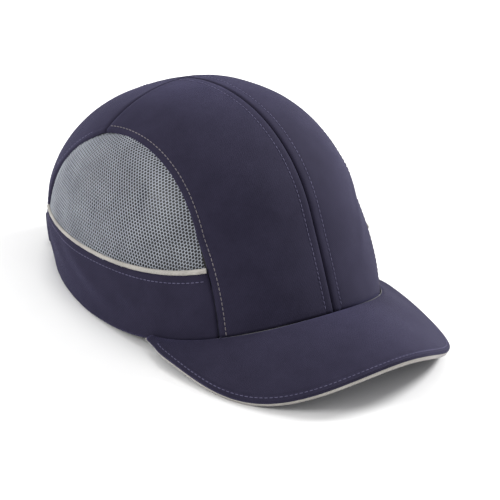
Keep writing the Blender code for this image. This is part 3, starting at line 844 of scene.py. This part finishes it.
def edge_fall(u, w, sharp=8.0):
    """1 in the middle of a piece and 0 at its edges, with a round shoulder."""
    across = 1.0 - np.abs(2.0 * u - 1.0) ** sharp
    along = 1.0 - np.abs(2.0 * w - 1.0) ** sharp
    return np.sqrt(np.clip(across * along, 0.0, 1.0))


def band_place(start, end, low, high, inset_at):
    """Place function for a strip of the crown between two heights above the rim."""
    def place(u, w):
        angle = start + (end - start) * u
        base = rim_level(angle)
        level = base + low + (high - low) * w
        return crown(angle, dome_height(angle, level), inset_at(u, w))
    return place


def sweatband():
    start, end = -math.radians(140.0), math.radians(140.0)

    def channel(w):
        return 0.55 * (np.exp(-((w - 0.12) / 0.035) ** 2) + np.exp(-((w - 0.90) / 0.03) ** 2))

    def inner(u, w):
        ripple = 0.18 * np.sin(u * 540.0) * np.exp(-((w - 0.9) / 0.08) ** 2)
        thick = edge_fall(u, w, 14.0) * (1.5 + 0.35 * np.sin(math.pi * w) - channel(w) + ripple)
        return (1.75 + thick) * MM

    def outer(u, w):
        return 1.75 * MM + 0.0 * u
    piece = closed_pad("sweatband_cloth", 420, 26, band_place(start, end, 0.6 * MM, 29.0 * MM, outer),
                       band_place(start, end, 0.6 * MM, 29.0 * MM, inner), BAND, "cap", ["sweatband"])
    for tag, share in (("low", 0.12), ("high", 0.90)):
        angles = np.linspace(start * 0.985, end * 0.985, 700)
        level = rim_level(angles) + 0.6 * MM + share * 28.4 * MM
        heights = dome_height(angles, level)
        points = crown(angles, heights, 2.72 * MM)
        stitch_row("sweatband_stitches_" + tag, points, -normals_at(angles, heights), "cap", THREAD,
                   pitch=3.4)


def height_place(start, end, low, high, inset_at):
    """Place function for a strip of the crown between two heights up the leaning dome."""
    def place(u, w):
        return crown(start + (end - start) * u, low + (high - low) * w, inset_at(u, w))
    return place


def foam_pad(name, start, end, low, high, channels, nodes, strip=band_place):
    start, end = math.radians(start), math.radians(end)

    def thickness(u, w):
        quilt = np.zeros_like(u)
        for line in channels:
            quilt += 1.1 * np.exp(-((u - line) / 0.014) ** 2)
        soft = np.array([noise.noise(Vector((a * 9.0, b * 4.0, start))) for a, b in zip(u, w)]) * 0.25
        return edge_fall(u, w, 7.0) * (3.9 - quilt + soft)

    base = 8.05
    piece = closed_pad(name + "_cloth", 120, 60,
                       strip(start, end, low * MM, high * MM, lambda u, w: base * MM + 0.0 * u),
                       strip(start, end, low * MM, high * MM, lambda u, w: (base + thickness(u, w)) * MM),
                       FOAM, "insert", nodes)
    return piece


def crown_pad():
    start = 66.0 * MM

    def place_with(inset_at):
        def place(u, w):
            angle = 2.0 * math.pi * u - math.pi
            rise = RISE - 12.2 * MM
            height = start + (rise - start) * np.sin(w * math.pi / 2.0)
            return crown(angle, height, inset_at(angle, w))
        return place

    def outer(angle, w):
        return 8.05 * MM + 0.0 * angle

    def inner(angle, w):
        shoulder = np.sqrt(1.0 - (1.0 - np.clip(w / 0.22, 0.0, 1.0)) ** 2)
        inside = step_smooth(w * 5.0) * step_smooth((0.93 - w) * 9.0)
        quilt = np.exp(-(np.sin(angle * 3.0) / 0.10) ** 2) * inside
        return (8.05 + shoulder * (3.9 - quilt)) * MM
    bm = bmesh.new()
    for place in (place_with(outer), place_with(inner)):
        part = grid(240, 40, place)
        mesh = bpy.data.meshes.new("half")
        part.to_mesh(mesh)
        part.free()
        bm.from_mesh(mesh)
        bpy.data.meshes.remove(mesh)
    bmesh.ops.remove_doubles(bm, verts=bm.verts, dist=0.00003)
    bmesh.ops.recalc_face_normals(bm, faces=bm.faces)
    piece = finish_mesh("crown_pad_cloth", bm, FOAM, "insert", ["crown_pad"])


def shell():
    """Smooth moulded shell with vent slots, the same shape as its solid."""
    def shell_rim(angle):
        back = step_smooth((np.abs(wrapped(angle)) - math.radians(112.0)) / math.radians(46.0))
        return rim_level(angle) + 14.0 * MM + 46.0 * MM * back

    def place(u, w):
        angle = 2.0 * math.pi * u - math.pi
        rise = RISE - 4.6 * MM
        low_h = dome_height(angle, shell_rim(angle), 4.6 * MM)
        return crown(angle, low_h + (rise - low_h) * np.sin(w * math.pi / 2.0), 4.6 * MM)
    bm = grid(300, 90, place)
    for side in (1, -1):
        for degrees in (66.0, 90.0, 114.0):
            spot = crown(side * math.radians(degrees), 30.0 * MM, 4.6 * MM)
            outward = Vector(spot - np.array([0.0, 0.02, 0.05])).normalized()
            turn = outward.to_track_quat("Z", "Y").to_matrix()
            across, upward = turn.col[0], turn.col[1]

            def inside(v):
                away = v.co - Vector(spot)
                if away.dot(outward) < -0.02:
                    return False
                a, b = away.dot(across), away.dot(upward)
                b = max(abs(b) - 8.5 * MM, 0.0)
                return a * a + b * b < (3.5 * MM) ** 2
            gone = [f for f in bm.faces if all(inside(v) for v in f.verts)]
            bmesh.ops.delete(bm, geom=gone, context="FACES")
    piece = finish_mesh("moulded_shell", bm, PLASTIC, "insert", ["insert_shell"], 2.2 * MM)


# ---- rear opening, strap and ring ----
def rear_point(x, level, inset):
    near, far = math.pi, math.pi / 2.0
    for _ in range(36):
        middle = 0.5 * (near + far)
        if at_level(middle, level, inset)[0] < abs(x):
            near = middle
        else:
            far = middle
    point = at_level(near, level, inset)
    point[0] = math.copysign(point[0], x)
    normal = normals_at(near, dome_height(near, level, inset))
    if x < 0:
        normal = normal * np.array([-1.0, 1.0, 1.0])
    return point, normal


def arch_binding():
    points, ups = [], []
    shrink = BINDING_RADIUS + 0.4 * MM
    for step in range(181):
        turn = math.pi * step / 180.0
        x = (ARCH_HALF_WIDTH - shrink) * math.cos(turn)
        level = max(BINDING_RADIUS + 0.2 * MM, (ARCH_HEIGHT - shrink) * math.sin(turn))
        point, normal = rear_point(x, level, 0.6 * MM)
        points.append(point)
        ups.append(normal)

    def section(share):
        k = noise.noise(Vector((share * 60.0, 2.0, 1.0)))
        return oval((2.6 + 0.15 * k) * MM, (1.65 + 0.15 * k) * MM, 1.65 * MM)
    piece = sweep("rear_arch_tape", points, ups, section, TAPE, "cap", ["rear_arch_binding"])
    points, ups = np.array(points)[6:-6], np.array(ups)[6:-6]
    stitch_row("rear_arch_stitches", points + ups * 1.6 * MM, ups, "cap", THREAD_DARK, pitch=3.2)


RING_ANGLE = math.radians(208.0)
STAND_OFF = 2.3 * MM
FOLD = 2.7 * MM
LAP_INSET = 3.3 * MM
EDGE_ARC = REAR_REACH * 0.98


def ribbon(name, stations, material, body, nodes, thickness=1.2 * MM, low=STRAP_LOW, high=STRAP_HIGH):
    stations = np.array(stations)
    steps = np.hypot(np.diff(stations[:, 0]) * EDGE_ARC, np.diff(stations[:, 1]))
    run = np.concatenate([[0.0], np.cumsum(steps)])
    run /= run[-1]

    def face(sign):
        def place(u, w):
            angle = np.interp(u, run, stations[:, 0])
            inset = np.interp(u, run, stations[:, 1])
            level = low + (high - low) * w
            ahead_a = np.interp(np.clip(u + 0.01, 0, 1), run, stations[:, 0])
            ahead_i = np.interp(np.clip(u + 0.01, 0, 1), run, stations[:, 1])
            here = crown(angle, dome_height(angle, level), inset)
            there = crown(ahead_a, dome_height(ahead_a, level), ahead_i)
            behind_a = np.interp(np.clip(u - 0.01, 0, 1), run, stations[:, 0])
            behind_i = np.interp(np.clip(u - 0.01, 0, 1), run, stations[:, 1])
            behind = crown(behind_a, dome_height(behind_a, level), behind_i)
            along = there - behind
            above = crown(angle, dome_height(angle, level + 0.5 * MM), inset) - here
            normal = np.cross(along, above)
            normal /= np.maximum(np.linalg.norm(normal, axis=1, keepdims=True), 1e-12)
            rise = 0.5 * thickness * np.sqrt(np.clip(1.0 - np.abs(2.0 * w - 1.0) ** 16, 0.0, 1.0))
            rise = rise * np.sqrt(np.clip(1.0 - np.abs(2.0 * u - 1.0) ** 60, 0.0, 1.0))
            return here + normal * (sign * rise)[:, None]
        return place
    return closed_pad(name, max(20, int(160 * (run[-1]))), 30, face(1.0), face(-1.0), material, body, nodes)


def rear_strap():
    inner, outer, centre = -STAND_OFF, -STAND_OFF - 2.0 * FOLD, -STAND_OFF - FOLD
    stations = []
    for step in range(61):
        angle = math.radians(141.5) + (RING_ANGLE - math.radians(141.5)) * step / 60.0
        emerged = float(step_smooth((angle - math.radians(156.0)) / math.radians(20.0)))
        stations.append((angle, LAP_INSET + (inner - LAP_INSET) * emerged))
    for step in range(1, 25):
        bend = math.pi * step / 24.0
        stations.append((RING_ANGLE + FOLD * math.sin(bend) / EDGE_ARC, centre + FOLD * math.cos(bend)))
    stations.append((RING_ANGLE - 3.0 * MM / EDGE_ARC, outer))
    ribbon("loop_strap_webbing", stations, WEBBING, "cap", ["loop_strap"])
    start = RING_ANGLE - 4.1 * MM / EDGE_ARC
    tail = [(start - 44.0 * MM / EDGE_ARC * (1.0 - step / 30.0), outer) for step in range(31)]
    ribbon("hook_tail_webbing", tail, WEBBING, "strap_tail", ["hook_tail"])
    tab_start = RING_ANGLE + 0.6 * 8.0 * MM / EDGE_ARC
    tab = [(tab_start + 18.0 * MM / EDGE_ARC * step / 20.0, -1.0 * MM) for step in range(21)]
    ribbon("ring_tab_webbing", tab, WEBBING, "cap", ["ring_tab"])
    for name, angles, inset, body in (
            ("tail_stitches", np.linspace(tail[0][0] + 0.02, tail[-1][0] - 0.02, 60), outer - 0.55 * MM,
             "strap_tail"),
            ("tab_stitches", np.linspace(tab[6][0], tab[-1][0] - 0.01, 30), -1.55 * MM, "cap")):
        for tag, level in (("low", STRAP_LOW + 2.2 * MM), ("high", STRAP_HIGH - 2.2 * MM)):
            heights = dome_height(angles, level)
            points = crown(angles, heights, inset)
            stitch_row(f"{name}_{tag}", points, normals_at(angles, heights), body, THREAD)


# ---- topstitching on the crown ----
def crown_line(measure, heights, start, end, lift=0.0):
    found = trace(measure, heights, start, end)
    if len(found) < 4:
        return None, None
    points = crown(found[:, 0], found[:, 1])
    normals = normals_at(found[:, 0], found[:, 1])
    return points + crease_lift(points)[:, None] * normals + normals * lift, normals


def topstitching():
    for side, word in ((1, "left"), (-1, "right")):
        lowest = -62.0 * MM
        heights = np.concatenate([np.linspace(lowest, 0.0, 90),
                                  RISE * np.sin(np.radians(np.linspace(0.5, 86.0, 240)))])
        points, normals = crown_line(lambda p: p[0] * side - 6.5 * MM, heights, 0.0, side * math.pi / 2.0)
        angle = guess_angle(points)
        keep = (points[:, 2] > rim_level(angle) + 1.0 * MM) & (points[:, 1] < SEAM_Y - 1.0 * MM)
        stitch_row(f"centre_stitches_{word}", points[keep], normals[keep], "cap", THREAD)
        rear = np.concatenate([np.linspace(-20.0 * MM, 0.0, 30),
                               RISE * np.sin(np.radians(np.linspace(0.5, 88.5, 240)))])
        points, normals = crown_line(lambda p: p[0] * side - 6.5 * MM, rear,
                                     side * math.pi, side * math.pi / 2.0)
        keep = points[:, 2] > ARCH_HEIGHT + 3.0 * MM
        stitch_row(f"rear_centre_stitches_{word}", points[keep], normals[keep], "cap", THREAD)
        points, normals = crown_line(off_seam(side, True, -3.2 * MM), heights, side * math.radians(20.0),
                                     side * math.radians(89.0))
        angle = guess_angle(points)
        keep = (points[:, 2] > rim_level(angle) + 1.0 * MM) & (points[:, 1] < SEAM_Y - 1.0 * MM)
        stitch_row(f"flank_stitches_{word}", points[keep], normals[keep], "cap", THREAD_PALE)
        points, normals = crown_line(off_seam(side, False, -3.2 * MM), heights[heights > -45 * MM],
                                     side * math.radians(170.0), side * math.radians(89.0))
        angle = guess_angle(points)
        keep = (points[:, 2] > rim_level(angle) + 1.0 * MM) & (points[:, 1] > SEAM_Y + 1.0 * MM)
        stitch_row(f"rear_flank_stitches_{word}", points[keep], normals[keep], "cap", THREAD)
        angles = side * np.radians(np.linspace(38.0, 140.0, 300))
        level = piping_level(angles) - 5.4 * MM
        points = at_level(angles, level)
        keep = np.ones(len(angles), bool)
        for front in (True, False):
            point, outward = seam_plane(side, front)
            keep &= (points - point) @ outward > 2.0 * MM
        angles, points = angles[keep], points[keep]
        normals = normals_at(angles, dome_height(angles, level[keep]))
        lift = crease_lift(points) * 1.0
        stitch_row(f"band_stitches_{word}", points + normals * lift[:, None], normals, "cap", THREAD)


crown_panels()
side_bands()
for net_side, net_word in ((1, "left"), (-1, "right")):
    net_panel(net_side, net_word)
side_pipings()
peak_cover("peak_top_cloth", "peak_top_cover", 1, NAVY)
peak_cover("peak_under_cloth", "peak_under_cover", -1, NAVY_UNDER)
peak_piping()
topstitching()
sweatband()
foam_pad("front_pad", -30.0, 30.0, 22.0, 58.0, (0.25, 0.5, 0.75), ["front_pad"])
for pad_name, pad_start, pad_end in (("side_pad_left", 54.0, 124.0), ("side_pad_right", -124.0, -54.0)):
    foam_pad(pad_name, pad_start, pad_end, 12.0, 60.0, (0.2, 0.4, 0.6, 0.8), [pad_name], height_place)
crown_pad()
shell()
arch_binding()
rear_strap()
for node_name, node_material in (("strap_ring", RING_PLASTIC), ("peak_board", PLASTIC),
                                 ("centre_seam_tape", TAPE)):
    shown = bpy.data.objects[node_name]
    shown.data.materials.clear()
    shown.data.materials.append(node_material)


# ---- floor, light, camera ----
def area_light(name, place, target, power, size, colour=(1.0, 1.0, 1.0)):
    data = bpy.data.lights.new(name, "AREA")
    data.energy = power
    data.shape = "DISK"
    data.size = size
    data.color = colour
    lamp = bpy.data.objects.new(name, data)
    bpy.context.scene.collection.objects.link(lamp)
    lamp.location = place
    lamp.rotation_mode = "QUATERNION"
    lamp.rotation_quaternion = (Vector(target) - Vector(place)).to_track_quat("-Z", "Y")


def studio():
    bm = bmesh.new()
    bmesh.ops.create_grid(bm, x_segments=2, y_segments=2, size=6.0)
    mesh = bpy.data.meshes.new("floor")
    bm.to_mesh(mesh)
    bm.free()
    floor = bpy.data.objects.new("floor", mesh)
    bpy.context.scene.collection.objects.link(floor)
    floor.location.z = -0.0002
    paper, tree, shader = material_nodes("pale_paper", 0.95)
    mottle(tree, shader, (0.86, 0.86, 0.86), (0.90, 0.90, 0.90), 3.0)
    mesh.materials.append(paper)
    world = bpy.data.worlds.new("studio")
    bpy.context.scene.world = world
    world.use_nodes = True
    sky = world.node_tree.nodes["Background"]
    sky.inputs["Color"].default_value = (1.0, 1.0, 1.0, 1.0)
    sky.inputs["Strength"].default_value = 0.75
    bpy.context.scene.view_settings.view_transform = "Standard"
    area_light("key_right", (1.25, -0.25, 0.9), (0.0, 0.0, 0.06), 26.0, 0.5)
    area_light("fill_left", (-1.35, 0.25, 0.7), (0.0, 0.0, 0.05), 11.0, 0.6)
    area_light("top", (0.1, 0.6, 1.5), (0.0, 0.0, 0.08), 8.0, 0.8)


CAMERA_LENS = 182.5
CAMERA_AZIMUTH = -0.7734
CAMERA_ELEVATION = 0.4275
CAMERA_ROLL = 0.1188
CAMERA_DISTANCE = 1.5997
CAMERA_TARGET = Vector((0.0, -0.0405, 0.0042 + STAND))


def front_camera():
    data = bpy.data.cameras.new("camera")
    camera = bpy.data.objects.new("camera", data)
    bpy.context.scene.collection.objects.link(camera)
    data.sensor_width = 36.0
    data.lens = CAMERA_LENS
    data.clip_start, data.clip_end = 0.05, 30.0
    azimuth, elevation, roll = CAMERA_AZIMUTH, CAMERA_ELEVATION, CAMERA_ROLL
    back = Vector((math.sin(azimuth) * math.cos(elevation), -math.cos(azimuth) * math.cos(elevation),
                   math.sin(elevation)))
    right = Vector((math.cos(azimuth), math.sin(azimuth), 0.0))
    up = back.cross(right)
    turned_right = right * math.cos(roll) + up * math.sin(roll)
    turned_up = up * math.cos(roll) - right * math.sin(roll)
    camera.matrix_world = Matrix.Translation(CAMERA_TARGET + back * CAMERA_DISTANCE) @ Matrix(
        (turned_right, turned_up, back)).transposed().to_4x4()
    bpy.context.scene.camera = camera


studio()
front_camera()
